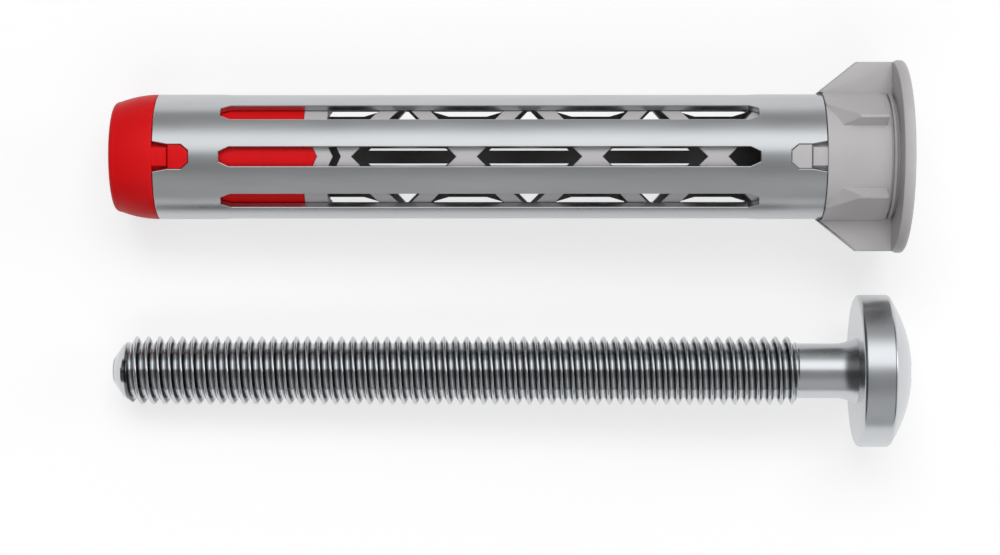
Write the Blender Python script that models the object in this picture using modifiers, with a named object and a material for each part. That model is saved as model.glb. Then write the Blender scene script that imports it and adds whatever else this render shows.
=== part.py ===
# Hollow-wall anchor with its machine screw, lying side by side as they come to rest on a level surface.
# Metres, +Z up. The anchor and the screw are each modelled upright about their own Z axis, with the head
# at the top, and are then laid down by an empty. In the anchor's own axes z = 0 is the flange face that
# bears on the wall, +X points to one wing and +Y to the row of slots that faces the viewer.

import math

import bmesh
import bpy
from mathutils import Matrix, Vector

MM = 0.001

# Steel sleeve: sheet punched flat, then rolled to a tube
SLEEVE_RADIUS = 5.41 * MM
SHEET = 0.53 * MM
SLEEVE_LENGTH = 57.4 * MM
SEAM_GAP = 0.12 * MM
SLOT_COUNT = 8
SLOT_WIDTH = 1.66 * MM
SLOT_FROM_HEAD_END = 5.7 * MM
SLOT_FROM_NOSE_END = 5.7 * MM
SLOT_TIP_WIDTH = 0.86 * MM
SLOT_TIP_LENGTH = 0.85 * MM

# Locking tabs of the plastic pieces, and the notches that the sleeve has for them
TAB_HEAD_WIDTH = 2.04 * MM
TAB_HEAD_LENGTH = 1.75 * MM
TAB_TIP_WIDTH = 1.0 * MM
TAB_TIP_LENGTH = 0.6 * MM
TAB_NECK_WIDTH = 1.64 * MM
TAB_NECK_LENGTH = 1.3 * MM
TAB_NECK_DROP = 0.12 * MM
TAB_GROOVE = 0.12 * MM
TAB_CLEARANCE = 0.06 * MM
NOTCH_FLARE = 0.24 * MM

# Flange and collar
FLANGE_RADIUS = 8.35 * MM
FLANGE_THICKNESS = 0.93 * MM
FLANGE_EDGE = 0.2 * MM
FLANGE_CHAMFER_WIDTH = 0.2 * MM
FLANGE_CHAMFER_RISE = 0.4 * MM
COLLAR_LENGTH = 6.1 * MM
COLLAR_STEP = 0.09 * MM
RING_GAP = 0.2 * MM
RING_WIDTH = 0.25 * MM
GROOVE_DEPTH = 0.4 * MM
RELIEF = 0.1 * MM
BORE_RADIUS = 3.3 * MM
BORE_CHAMFER = 0.35 * MM

# Wings that key the flange in the wall, and the low ribs beside them
WING_RADIUS = 8.19 * MM
WING_THICKNESS = 1.2 * MM
WING_RAMP = 3.0 * MM
WING_LAP = 0.4 * MM
RIB_RADIUS = 6.8 * MM
RIB_ANGLE = math.radians(29.0)
RIB_LAND = math.radians(2.5)
RIB_FOOT_ANGLE = math.radians(80.0)
RIB_FOOT_RISE = 0.1 * MM
RIB_END_GAP = 1.0 * MM
RIB_RAMP_START = 1.25 * MM
RIB_RAMP_LENGTH = 1.45 * MM
RIB_RAMP_SKEW_ANGLE = math.radians(50.0)

# Collapsible cage inside the sleeve
FIT_CLEARANCE = 0.12 * MM
END_CLEARANCE = 0.05 * MM
CAGE_PITCH = 10.7 * MM
CAGE_FIRST_NODE = 3.25 * MM
FRONT_WINDOW_REACH = 4.49 * MM
FRONT_STRUT = 1.63 * MM
BACK_WINDOW_REACH = 4.1 * MM
BACK_SPINE_WIDTH = 1.14 * MM
BACK_LENS_BASE = 3.5 * MM
BACK_LENS_BASE_LENGTH = 3.3 * MM
BACK_LENS_SHOULDER = 3.9 * MM
BACK_LENS_LENGTH = 6.0 * MM
END_RING_WIDTH = 2.0 * MM
CUT_OVERLAP = 0.5 * MM
SLIT_LENGTH = 0.7 * MM
SLIT_HALF_SPAN = 1.0 * MM
LAST_WINDOW_FROM_COLLAR = 4.49 * MM

# Nose piece with the plug that holds the threaded insert
NOSE_LENGTH = 3.85 * MM
NOSE_DROP = 0.62 * MM
NOSE_FILLET = 0.45 * MM
NOSE_BORE_RADIUS = 3.2 * MM
PLUG_LENGTH = 12.8 * MM
TONGUE_LENGTH = 1.2 * MM
TONGUE_HALF_SPAN = 2.5 * MM

# Threaded insert, moulded into the plug
INSERT_RADIUS = 3.9 * MM
INSERT_LENGTH = 9.6 * MM
INSERT_CHAMFER = 0.3 * MM
INSERT_GROOVE_WIDTH = 1.6 * MM
INSERT_GROOVE_DEPTH = 0.35 * MM
INSERT_WALL_BEHIND = 1.3 * MM
INSERT_CLEARANCE = 0.05 * MM
THREAD_MINOR_RADIUS = 2.5 * MM

# Machine screw: size M6 with a pan head and a cross recess
THREAD_RADIUS = 3.0 * MM
THREAD_ROOT_RADIUS = 2.39 * MM
THREAD_PITCH = 1.0 * MM
THREAD_CREST = 0.14 * MM
THREAD_MARGIN = 0.2 * MM
SCREW_LENGTH = 65.0 * MM
SCREW_TIP_CHAMFER = 1.1 * MM
SCREW_TIP_RADIUS = 2.3 * MM
NECK_LENGTH = 5.1 * MM
NECK_FLARE_LENGTH = 1.7 * MM
NECK_FLARE_RADIUS = 2.95 * MM
HEAD_RADIUS = 6.65 * MM
HEAD_RIM = 2.95 * MM
HEAD_EDGE = 0.3 * MM
HEAD_DOME = 1.85 * MM
RECESS_DEPTH = 2.9 * MM
RECESS_SPAN = 5.6 * MM
RECESS_FLOOR_SPAN = 2.6 * MM
RECESS_BLADE = 1.05 * MM
RECESS_MOUTH_RADIUS = 2.2 * MM
RECESS_CORE_RADIUS = 1.45 * MM
RECESS_CORE_DEPTH = 2.0 * MM
RECESS_POINT = 0.2 * MM

# How the two lie beside each other
AXIS_DISTANCE = 18.65 * MM
SCREW_HEAD_SETBACK = 2.78 * MM
ANCHOR_ROLL = math.radians(2.5)

# Fineness of the round forms
ROUND_STEPS = 48
THREAD_STEPS = 12
FILLET_STEPS = 2
TAPER_STEPS = 4
DOME_STEPS = 6
SMALL_BORE_STEPS = 24

# Places along the anchor's axis that several pieces share
SLEEVE_TOP = -COLLAR_LENGTH
SLEEVE_BOTTOM = SLEEVE_TOP - SLEEVE_LENGTH
PLUG_TOP = SLEEVE_BOTTOM + PLUG_LENGTH
CAGE_RADIUS = SLEEVE_RADIUS - SHEET - FIT_CLEARANCE
CAGE_REACH = CAGE_RADIUS + FIT_CLEARANCE
FIRST_NODE = PLUG_TOP + CAGE_FIRST_NODE
CAGE_WINDOWS = int((SLEEVE_TOP - SLOT_FROM_HEAD_END - FIRST_NODE) / CAGE_PITCH)
SHEET_MIDDLE = SLEEVE_RADIUS - SHEET / 2
FAR = 3 * FLANGE_RADIUS


def clear_scene():
    for item in list(bpy.data.objects):
        bpy.data.objects.remove(item, do_unlink=True)


def new_collection(name):
    group = bpy.data.collections.new(name)
    bpy.context.scene.collection.children.link(group)
    return group


def make_material(name, colour, roughness, metallic):
    made = bpy.data.materials.new(name)
    made.use_nodes = True
    shader = made.node_tree.nodes["Principled BSDF"]
    shader.inputs["Base Color"].default_value = (*colour, 1.0)
    shader.inputs["Roughness"].default_value = roughness
    shader.inputs["Metallic"].default_value = metallic
    made.diffuse_color = (*colour, 1.0)
    return made


def arc(centre, radius, start, end, steps=FILLET_STEPS):
    """Points on an arc of a profile, from one angle to another, in degrees."""
    points = []
    for step in range(steps + 1):
        angle = math.radians(start + (end - start) * step / steps)
        points.append((centre[0] + radius * math.cos(angle), centre[1] + radius * math.sin(angle)))
    return points


def turned(name, profile, group, closed=True, steps=ROUND_STEPS):
    """Turn a profile of (radius, height) points about Z; its outer side runs from top to bottom.

    The facets are centred on the axes, half a step away from the folds of the rolled pieces.
    """
    mesh = bpy.data.meshes.new(name)
    edges = [(i, i + 1) for i in range(len(profile) - 1)]
    if closed:
        edges.append((len(profile) - 1, 0))
    half_step = math.pi / steps
    across = math.cos(half_step)
    aside = math.sin(half_step)
    mesh.from_pydata([(radius * across, radius * aside, height) for radius, height in profile], edges, [])
    made = bpy.data.objects.new(name, mesh)
    group.objects.link(made)
    screw = made.modifiers.new("Turn", "SCREW")
    screw.axis = "Z"
    screw.steps = steps
    screw.render_steps = steps
    screw.use_merge_vertices = True
    screw.merge_threshold = 0.000001
    return made


def settle(made):
    """Replace an object's mesh by its evaluated one, cleaned, so that later steps can edit it."""
    graph = bpy.context.evaluated_depsgraph_get()
    mesh = bpy.data.meshes.new_from_object(made.evaluated_get(graph))
    made.modifiers.clear()
    made.data = mesh
    return made


def flat_solid(name, outlines, thickness, group, place=None):
    """Fill flat outlines as a 2D curve, give them a thickness centred on their plane and make them a mesh."""
    curve = bpy.data.curves.new(name, "CURVE")
    curve.dimensions = "2D"
    curve.fill_mode = "BOTH"
    curve.extrude = thickness / 2
    for outline in outlines:
        spline = curve.splines.new("POLY")
        spline.points.add(len(outline) - 1)
        for point, (x, y) in zip(spline.points, outline):
            point.co = (x, y, 0.0, 1.0)
        spline.use_cyclic_u = True
    drawn = bpy.data.objects.new(name + "_outline", curve)
    group.objects.link(drawn)
    bpy.context.view_layer.update()
    graph = bpy.context.evaluated_depsgraph_get()
    mesh = bpy.data.meshes.new_from_object(drawn.evaluated_get(graph))
    bpy.data.objects.remove(drawn, do_unlink=True)

    work = bmesh.new()
    work.from_mesh(mesh)
    bmesh.ops.remove_doubles(work, verts=work.verts, dist=0.000001)
    bmesh.ops.recalc_face_normals(work, faces=work.faces)
    if place is not None:
        bmesh.ops.transform(work, matrix=place, verts=work.verts)
    work.to_mesh(mesh)
    work.free()
    mesh.name = name
    made = bpy.data.objects.new(name, mesh)
    group.objects.link(made)
    return made


# Turns a drawing of (place along the axis, height in the photo plane) into the anchor's own axes
SIDE_VIEW = Matrix(((0, 1, 0, 0), (0, 0, 1, 0), (1, 0, 0, 0), (0, 0, 0, 1)))


def sliced(blank):
    """Cut a flat blank of (arc length, height) into strips, one for each facet of the tube."""
    strip = 2 * math.pi / ROUND_STEPS * SHEET_MIDDLE
    work = bmesh.new()
    work.from_mesh(blank.data)
    first = math.ceil(min(vert.co.x for vert in work.verts) / strip)
    last = math.floor(max(vert.co.x for vert in work.verts) / strip)
    for index in range(first, last + 1):
        everything = work.verts[:] + work.edges[:] + work.faces[:]
        fold = Vector((index * strip, 0, 0))
        bmesh.ops.bisect_plane(work, geom=everything, dist=0.0000001, plane_co=fold, plane_no=(1, 0, 0))
    work.to_mesh(blank.data)
    work.free()
    return blank


def rolled(blank, inner_radius, outer_radius):
    """Roll a sliced blank about Z, folding it between the strips; arc lengths are at mid-sheet."""
    strip = 2 * math.pi / ROUND_STEPS
    middle = (inner_radius + outer_radius) / 2
    work = bmesh.new()
    work.from_mesh(blank.data)
    bmesh.ops.triangulate(work, faces=work.faces)
    for vert in work.verts:
        turns = vert.co.x / SHEET_MIDDLE / strip
        fold = math.floor(turns)
        here = Vector((math.cos(fold * strip), math.sin(fold * strip)))
        after = Vector((math.cos((fold + 1) * strip), math.sin((fold + 1) * strip)))
        across = (middle + vert.co.z) * here.lerp(after, turns - fold)
        vert.co = (across.x, across.y, vert.co.y)
    bmesh.ops.recalc_face_normals(work, faces=work.faces)
    work.to_mesh(blank.data)
    work.free()
    return blank


def combine(target, other, operation):
    step = target.modifiers.new(other.name, "BOOLEAN")
    step.operation = operation
    step.solver = "EXACT"
    step.object = other
    other.hide_render = True
    other.display_type = "WIRE"


def arc_length(chord):
    """Arc length at mid-sheet of a width that is measured straight across at the sleeve's outside."""
    return SHEET_MIDDLE * math.asin(chord / SLEEVE_RADIUS)


def tab_outline(end, inward, centre):
    """Outline of a tab's arrow-shaped head; end is the sleeve's edge and inward is the way into the sleeve."""
    wide = arc_length(TAB_HEAD_WIDTH / 2)
    narrow = arc_length(TAB_TIP_WIDTH / 2)
    base = end + inward * (TAB_NECK_LENGTH + TAB_GROOVE / 2)
    shoulder = end + inward * (TAB_NECK_LENGTH + TAB_HEAD_LENGTH - TAB_TIP_LENGTH)
    tip = end + inward * (TAB_NECK_LENGTH + TAB_HEAD_LENGTH)
    return mirrored_outline([(wide, base), (wide, shoulder), (narrow, tip)], centre)


def mirrored_outline(half, centre):
    """Close a half outline of (offset, height) points with its mirror image about the centre."""
    right = [(centre + offset, height) for offset, height in half]
    left = [(centre - offset, height) for offset, height in reversed(half)]
    return right + left


def notch_outline(end, inward, centre):
    """The notch in the sleeve's edge that takes a tab, open past the edge."""
    mouth = arc_length(TAB_HEAD_WIDTH / 2 + TAB_CLEARANCE + NOTCH_FLARE)
    wide = arc_length(TAB_HEAD_WIDTH / 2 + TAB_CLEARANCE)
    narrow = arc_length(TAB_TIP_WIDTH / 2 + TAB_CLEARANCE)
    head = end + inward * TAB_NECK_LENGTH
    half = [
        (mouth, end - inward * SHEET),
        (mouth, end),
        (wide, head),
        (wide, head + inward * (TAB_HEAD_LENGTH - TAB_TIP_LENGTH)),
        (narrow, head + inward * (TAB_HEAD_LENGTH + TAB_CLEARANCE)),
    ]
    return mirrored_outline(half, centre)


def slot_outline(centre):
    top = SLEEVE_TOP - SLOT_FROM_HEAD_END
    bottom = SLEEVE_BOTTOM + SLOT_FROM_NOSE_END
    wide = arc_length(SLOT_WIDTH / 2)
    narrow = arc_length(SLOT_TIP_WIDTH / 2)
    half = [(narrow, top), (wide, top - SLOT_TIP_LENGTH), (wide, bottom + SLOT_TIP_LENGTH), (narrow, bottom)]
    return mirrored_outline(half, centre)


def make_sleeve(parts, cutters):
    """A flat strip, punched and then rolled; its two side edges meet along one row of slots."""
    edge = math.pi * SHEET_MIDDLE - SEAM_GAP / 2
    strip = [(-edge, SLEEVE_BOTTOM), (edge, SLEEVE_BOTTOM), (edge, SLEEVE_TOP), (-edge, SLEEVE_TOP)]
    sleeve = sliced(flat_solid("steel_sleeve", [strip], SHEET, parts))

    punches = []
    for index in range(SLOT_COUNT + 1):
        punches.append(slot_outline((index / SLOT_COUNT - 0.5) * 2 * math.pi * SHEET_MIDDLE))
    for centre in (-math.pi / 2 * SHEET_MIDDLE, math.pi / 2 * SHEET_MIDDLE):
        punches.append(notch_outline(SLEEVE_TOP, -1, centre))
        punches.append(notch_outline(SLEEVE_BOTTOM, 1, centre))
    combine(sleeve, flat_solid("sleeve_punches", punches, 3 * SHEET, cutters), "DIFFERENCE")
    bpy.context.view_layer.update()
    return rolled(settle(sleeve), SLEEVE_RADIUS - SHEET, SLEEVE_RADIUS)


def add_tabs(target, name, end, inward, cutters):
    """Tabs on two opposite sides, flush with the sleeve's outside, on the plug or the cage inside it."""
    root = CAGE_RADIUS - 2 * FIT_CLEARANCE
    neck_half = arc_length(TAB_NECK_WIDTH / 2)
    heads = []
    necks = []
    for centre in (-math.pi / 2 * SHEET_MIDDLE, math.pi / 2 * SHEET_MIDDLE):
        heads.append(tab_outline(end, inward, centre))
        neck_end = end + inward * (TAB_NECK_LENGTH - TAB_GROOVE / 2)
        half = [(neck_half, end - inward * SHEET), (neck_half, neck_end)]
        necks.append(mirrored_outline(half, centre))
    for kind, outlines, outer in (("heads", heads, SLEEVE_RADIUS), ("necks", necks, SLEEVE_RADIUS - TAB_NECK_DROP)):
        blank = sliced(flat_solid(name + "_tab_" + kind, outlines, outer - root, cutters))
        combine(target, rolled(blank, root, outer), "UNION")


def make_nose(parts, cutters):
    """The rounded nose, and the plug inside the sleeve whose end is a blunt arrow on both sides."""
    nose_bottom = SLEEVE_BOTTOM - NOSE_LENGTH
    fillet_height = nose_bottom + NOSE_FILLET
    taper = SLEEVE_BOTTOM - fillet_height
    taper_angle = math.degrees(math.atan2(2 * NOSE_DROP, taper))
    shoulder_radius = SLEEVE_RADIUS - NOSE_DROP
    top = PLUG_TOP + TONGUE_LENGTH + 2 * END_CLEARANCE
    pocket_bottom, pocket_top = insert_span(INSERT_CLEARANCE)
    pocket_radius = INSERT_RADIUS + INSERT_CLEARANCE

    profile = [(CAGE_RADIUS, top), (CAGE_RADIUS, SLEEVE_BOTTOM - END_CLEARANCE)]
    for step in range(TAPER_STEPS + 1):
        share = step / TAPER_STEPS
        height = SLEEVE_BOTTOM - END_CLEARANCE - share * (taper - END_CLEARANCE)
        profile.append((SLEEVE_RADIUS - NOSE_DROP * share**2, height))
    profile += arc((shoulder_radius - NOSE_FILLET, fillet_height), NOSE_FILLET, -taper_angle, -90)
    profile += [(NOSE_BORE_RADIUS + BORE_CHAMFER, nose_bottom)]
    profile += [(NOSE_BORE_RADIUS, nose_bottom + BORE_CHAMFER)]
    profile += [(NOSE_BORE_RADIUS, pocket_bottom), (pocket_radius, pocket_bottom)]
    profile += [(pocket_radius, pocket_top), (NOSE_BORE_RADIUS, pocket_top), (NOSE_BORE_RADIUS, top)]
    nose = turned("nose_plug", profile, parts)

    half = [(PLUG_TOP + TONGUE_LENGTH, 0.0), (PLUG_TOP, TONGUE_HALF_SPAN), (PLUG_TOP, FAR), (FAR, FAR)]
    outline = half + [(height, -across) for height, across in reversed(half[1:])]
    shape = flat_solid("plug_end_cut", [outline], FAR, cutters, SIDE_VIEW)
    combine(nose, shape, "DIFFERENCE")
    add_tabs(nose, "nose", SLEEVE_BOTTOM, 1, cutters)
    return nose


def insert_span(clearance):
    bottom = SLEEVE_BOTTOM + INSERT_WALL_BEHIND
    return bottom - clearance, bottom + INSERT_LENGTH + clearance


def make_insert(parts):
    """Steel insert with the thread that pulls the nose towards the wall; a groove keys it in the plug."""
    bottom, top = insert_span(0.0)
    middle = (bottom + top) / 2
    groove = INSERT_GROOVE_WIDTH / 2
    groove_radius = INSERT_RADIUS - INSERT_GROOVE_DEPTH
    profile = [
        (THREAD_MINOR_RADIUS + INSERT_CHAMFER, top),
        (INSERT_RADIUS - INSERT_CHAMFER, top),
        (INSERT_RADIUS, top - INSERT_CHAMFER),
        (INSERT_RADIUS, middle + groove),
        (groove_radius, middle + groove),
        (groove_radius, middle - groove),
        (INSERT_RADIUS, middle - groove),
        (INSERT_RADIUS, bottom + INSERT_CHAMFER),
        (INSERT_RADIUS - INSERT_CHAMFER, bottom),
        (THREAD_MINOR_RADIUS + INSERT_CHAMFER, bottom),
        (THREAD_MINOR_RADIUS, bottom + INSERT_CHAMFER),
        (THREAD_MINOR_RADIUS, top - INSERT_CHAMFER),
    ]
    return turned("threaded_insert", profile, parts, steps=SMALL_BORE_STEPS)


def flange_profile():
    collar_radius = SLEEVE_RADIUS + COLLAR_STEP
    groove_radius = collar_radius - GROOVE_DEPTH
    front = FLANGE_THICKNESS
    ring_top = -RING_GAP
    ring_bottom = ring_top - RING_WIDTH
    collar_top = ring_bottom - RING_GAP
    profile = [(BORE_RADIUS + BORE_CHAMFER, front)]
    profile += arc((FLANGE_RADIUS - FLANGE_EDGE, front - FLANGE_EDGE), FLANGE_EDGE, 90, 0)
    profile += [(FLANGE_RADIUS, FLANGE_CHAMFER_RISE), (FLANGE_RADIUS - FLANGE_CHAMFER_WIDTH, 0.0)]
    profile += [(collar_radius + RELIEF, 0.0), (groove_radius, RELIEF), (groove_radius, ring_top)]
    profile += [(collar_radius, ring_top)]
    profile += [(collar_radius, ring_bottom), (groove_radius, ring_bottom), (groove_radius, collar_top)]
    profile += [(collar_radius, collar_top), (collar_radius, SLEEVE_TOP + END_CLEARANCE)]
    profile += [(CAGE_RADIUS, SLEEVE_TOP + END_CLEARANCE), (CAGE_RADIUS, PLUG_TOP + END_CLEARANCE)]
    profile += [(BORE_RADIUS, PLUG_TOP + END_CLEARANCE), (BORE_RADIUS, front - BORE_CHAMFER)]
    return profile


def add_wings(target, cutters):
    """A wing on two opposite sides; its thin foot laps over the sleeve's end."""
    collar_radius = SLEEVE_RADIUS + COLLAR_STEP
    root = BORE_RADIUS + (collar_radius - BORE_RADIUS) / 2
    start = SLEEVE_TOP + 2 * END_CLEARANCE
    lap = SLEEVE_TOP - WING_LAP
    lap_radius = SLEEVE_RADIUS + COLLAR_STEP / 3
    ramp_end = SLEEVE_TOP + WING_RAMP
    wing = [
        (start, root),
        (start, lap_radius),
        (lap, lap_radius),
        (lap, collar_radius),
        (ramp_end, WING_RADIUS),
        (FLANGE_THICKNESS / 2, WING_RADIUS),
        (FLANGE_THICKNESS / 2, root),
    ]
    other = [(height, -across) for height, across in wing]
    combine(target, flat_solid("wing_plates", [wing, other], WING_THICKNESS, cutters, SIDE_VIEW), "UNION")


def add_ribs(target, cutters):
    """Four pads, each from a steep rib edge beside the front or back row down to the foot of a wing."""
    collar_radius = SLEEVE_RADIUS + COLLAR_STEP
    root = BORE_RADIUS + (collar_radius - BORE_RADIUS) / 2
    start = SLEEVE_TOP + 2 * END_CLEARANCE

    def place(radius, angle):
        return radius * math.sin(angle), radius * math.cos(angle)

    section = [
        place(root, RIB_ANGLE),
        place(RIB_RADIUS, RIB_ANGLE),
        place(RIB_RADIUS, RIB_ANGLE + RIB_LAND),
        place(collar_radius + RIB_FOOT_RISE, RIB_FOOT_ANGLE),
        place(root, RIB_FOOT_ANGLE),
    ]
    length = -RIB_END_GAP - start
    lift = Matrix.Translation((0, 0, start + length / 2))
    pad = flat_solid("rib_pads", [section], length, cutters, lift)

    ramp_foot = start + RIB_RAMP_START
    corners = [
        Vector((*place(collar_radius, RIB_RAMP_SKEW_ANGLE), start)),
        Vector((*place(collar_radius, RIB_ANGLE), ramp_foot)),
        Vector((*place(RIB_RADIUS, RIB_ANGLE), ramp_foot + RIB_RAMP_LENGTH)),
    ]
    normal = (corners[1] - corners[0]).cross(corners[2] - corners[0]).normalized()
    work = bmesh.new()
    work.from_mesh(pad.data)
    everything = work.verts[:] + work.edges[:] + work.faces[:]
    cut = bmesh.ops.bisect_plane(
        work, geom=everything, dist=0.0000001, plane_co=corners[0], plane_no=normal, clear_outer=True
    )
    rim = [item for item in cut["geom_cut"] if isinstance(item, bmesh.types.BMEdge)]
    bmesh.ops.holes_fill(work, edges=rim)
    bmesh.ops.recalc_face_normals(work, faces=work.faces)
    work.to_mesh(pad.data)
    work.free()

    mirror = pad.modifiers.new("Four quarters", "MIRROR")
    mirror.use_axis = (True, True, False)
    mirror.use_mirror_merge = False
    mirror.merge_threshold = 0.000001
    combine(target, pad, "UNION")


def front_windows():
    """Square windows on the middle line, and the lens-shaped ones between them at the sides."""
    half_pitch = CAGE_PITCH / 2
    ring_top = PLUG_TOP + END_RING_WIDTH
    lens_foot = FRONT_WINDOW_REACH - half_pitch + FRONT_STRUT
    outlines = []
    for index in range(CAGE_WINDOWS):
        centre = FIRST_NODE + half_pitch + index * CAGE_PITCH
        reach = FRONT_WINDOW_REACH
        outlines.append([(centre - reach, 0), (centre, reach), (centre + reach, 0), (centre, -reach)])
    last_node = FIRST_NODE + CAGE_WINDOWS * CAGE_PITCH
    start = last_node + half_pitch - FRONT_WINDOW_REACH
    end = SLEEVE_TOP - LAST_WINDOW_FROM_COLLAR
    spread = min(end - start, FRONT_WINDOW_REACH)
    last = [(start, 0), (start + spread, spread), (start + spread, -spread)]
    if start + spread < end:
        last[2:2] = [(end, spread), (end, -spread)]
    outlines.append(last)

    for index in range(CAGE_WINDOWS + 1):
        centre = FIRST_NODE + index * CAGE_PITCH
        left = centre - (CAGE_REACH - lens_foot)
        right = centre + (CAGE_REACH - lens_foot)
        lens = [(centre, lens_foot), (right, CAGE_REACH)]
        if left < ring_top:
            lens += [(ring_top, CAGE_REACH), (ring_top, lens_foot + centre - ring_top)]
        else:
            lens += [(left, CAGE_REACH)]
        outlines.append(lens)
        outlines.append([(height, -across) for height, across in lens])
    return outlines


def back_windows():
    """The same windows on the far side, with a spine left along the middle line."""
    half_pitch = CAGE_PITCH / 2
    ring_top = PLUG_TOP + END_RING_WIDTH
    spine = BACK_SPINE_WIDTH / 2
    half_outlines = []
    for index in range(CAGE_WINDOWS):
        centre = FIRST_NODE + half_pitch + index * CAGE_PITCH
        base = BACK_WINDOW_REACH - spine
        half_outlines.append([(centre - base, spine), (centre, BACK_WINDOW_REACH), (centre + base, spine)])
    for index in range(CAGE_WINDOWS + 1):
        centre = FIRST_NODE + index * CAGE_PITCH
        half = [
            (BACK_LENS_BASE_LENGTH / 2, BACK_LENS_BASE),
            (BACK_LENS_LENGTH / 2, BACK_LENS_SHOULDER),
            (BACK_LENS_LENGTH / 2, CAGE_REACH),
        ]
        right = [(centre + offset, across) for offset, across in half]
        left = [(max(centre - offset, ring_top), across) for offset, across in reversed(half)]
        if left[0][0] == left[1][0]:
            left = [left[0], left[-1]]
        half_outlines.append(right + left)
    return half_outlines + [[(height, -across) for height, across in half] for half in half_outlines]


def slit_outline():
    """Arrow-shaped slit that parts the first node from the end ring on the near side."""
    slope = TONGUE_LENGTH / TONGUE_HALF_SPAN
    left = FIRST_NODE - SLIT_LENGTH
    drop = slope * SLIT_HALF_SPAN
    return [
        (left, 0.0),
        (left - drop, SLIT_HALF_SPAN),
        (FIRST_NODE - drop, SLIT_HALF_SPAN),
        (FIRST_NODE, 0.0),
        (FIRST_NODE - drop, -SLIT_HALF_SPAN),
        (left - drop, -SLIT_HALF_SPAN),
    ]


def make_flange(parts, cutters):
    """Flange, collar, wings, tabs and the collapsible cage are one moulding."""
    flange = turned("flange_cage", flange_profile(), parts)
    add_wings(flange, cutters)
    add_ribs(flange, cutters)
    add_tabs(flange, "flange", SLEEVE_TOP, -1, cutters)

    front_depth = CAGE_REACH + CUT_OVERLAP
    front = SIDE_VIEW.copy()
    front.translation = (0, CAGE_REACH - front_depth / 2, 0)
    back = SIDE_VIEW.copy()
    back.translation = (0, -CAGE_REACH / 2, 0)
    combine(flange, flat_solid("front_window_cuts", front_windows(), front_depth, cutters, front), "DIFFERENCE")
    combine(flange, flat_solid("back_window_cuts", back_windows(), CAGE_REACH, cutters, back), "DIFFERENCE")
    combine(flange, flat_solid("slit_cut", [slit_outline()], front_depth, cutters, front), "DIFFERENCE")

    tip = PLUG_TOP + TONGUE_LENGTH + END_CLEARANCE
    foot = PLUG_TOP - END_CLEARANCE
    span = TONGUE_HALF_SPAN * (tip - foot) / TONGUE_LENGTH
    tongue = [(tip, 0.0), (foot, span), (foot, -span)]
    combine(flange, flat_solid("tongue_cut", [tongue], FAR, cutters, SIDE_VIEW), "DIFFERENCE")
    return flange


def make_thread(group, cutters):
    """Right-hand thread: one tooth's outline is turned about Z while it climbs, then trimmed at both ends."""
    tooth = [
        (THREAD_ROOT_RADIUS, 0.0),
        (THREAD_RADIUS, (THREAD_PITCH - THREAD_CREST) / 2),
        (THREAD_RADIUS, (THREAD_PITCH + THREAD_CREST) / 2),
        (THREAD_ROOT_RADIUS, THREAD_PITCH),
    ]
    low = -SCREW_LENGTH - THREAD_PITCH
    high = -NECK_LENGTH + THREAD_PITCH
    mesh = bpy.data.meshes.new("screw_thread")
    points = [(radius, 0.0, low - THREAD_PITCH + height) for radius, height in tooth]
    mesh.from_pydata(points, [(0, 1), (1, 2), (2, 3)], [])
    thread = bpy.data.objects.new("screw_thread", mesh)
    group.objects.link(thread)
    climb = thread.modifiers.new("Climb", "SCREW")
    climb.axis = "Z"
    climb.screw_offset = THREAD_PITCH
    climb.iterations = math.ceil((high - low) / THREAD_PITCH) + 1
    climb.steps = THREAD_STEPS
    climb.render_steps = THREAD_STEPS
    climb.use_merge_vertices = True
    climb.merge_threshold = 0.000001
    bpy.context.view_layer.update()
    settle(thread)

    work = bmesh.new()
    work.from_mesh(thread.data)
    bmesh.ops.remove_doubles(work, verts=work.verts, dist=0.000001)
    for height, outward in ((low, -1), (high, 1)):
        everything = work.verts[:] + work.edges[:] + work.faces[:]
        cut = bmesh.ops.bisect_plane(
            work, geom=everything, dist=0.0000001, plane_co=(0, 0, height), plane_no=(0, 0, outward), clear_outer=True
        )
        rim = [item for item in cut["geom_cut"] if isinstance(item, bmesh.types.BMEdge)]
        bmesh.ops.holes_fill(work, edges=rim)
    bmesh.ops.recalc_face_normals(work, faces=work.faces)
    work.to_mesh(thread.data)
    work.free()

    depth = THREAD_RADIUS - THREAD_ROOT_RADIUS
    outside = THREAD_RADIUS + THREAD_MARGIN
    tip_slope = SCREW_TIP_CHAMFER / (THREAD_RADIUS - SCREW_TIP_RADIUS)
    envelope = [
        (0.0, -NECK_LENGTH + THREAD_MARGIN),
        (THREAD_ROOT_RADIUS - THREAD_MARGIN, -NECK_LENGTH + THREAD_MARGIN),
        (outside, -NECK_LENGTH - depth - THREAD_MARGIN),
        (outside, -SCREW_LENGTH + SCREW_TIP_CHAMFER + THREAD_MARGIN * tip_slope),
        (SCREW_TIP_RADIUS, -SCREW_LENGTH),
        (0.0, -SCREW_LENGTH),
    ]
    combine(thread, turned("thread_ends", envelope, cutters, closed=False), "INTERSECT")
    return thread


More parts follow.
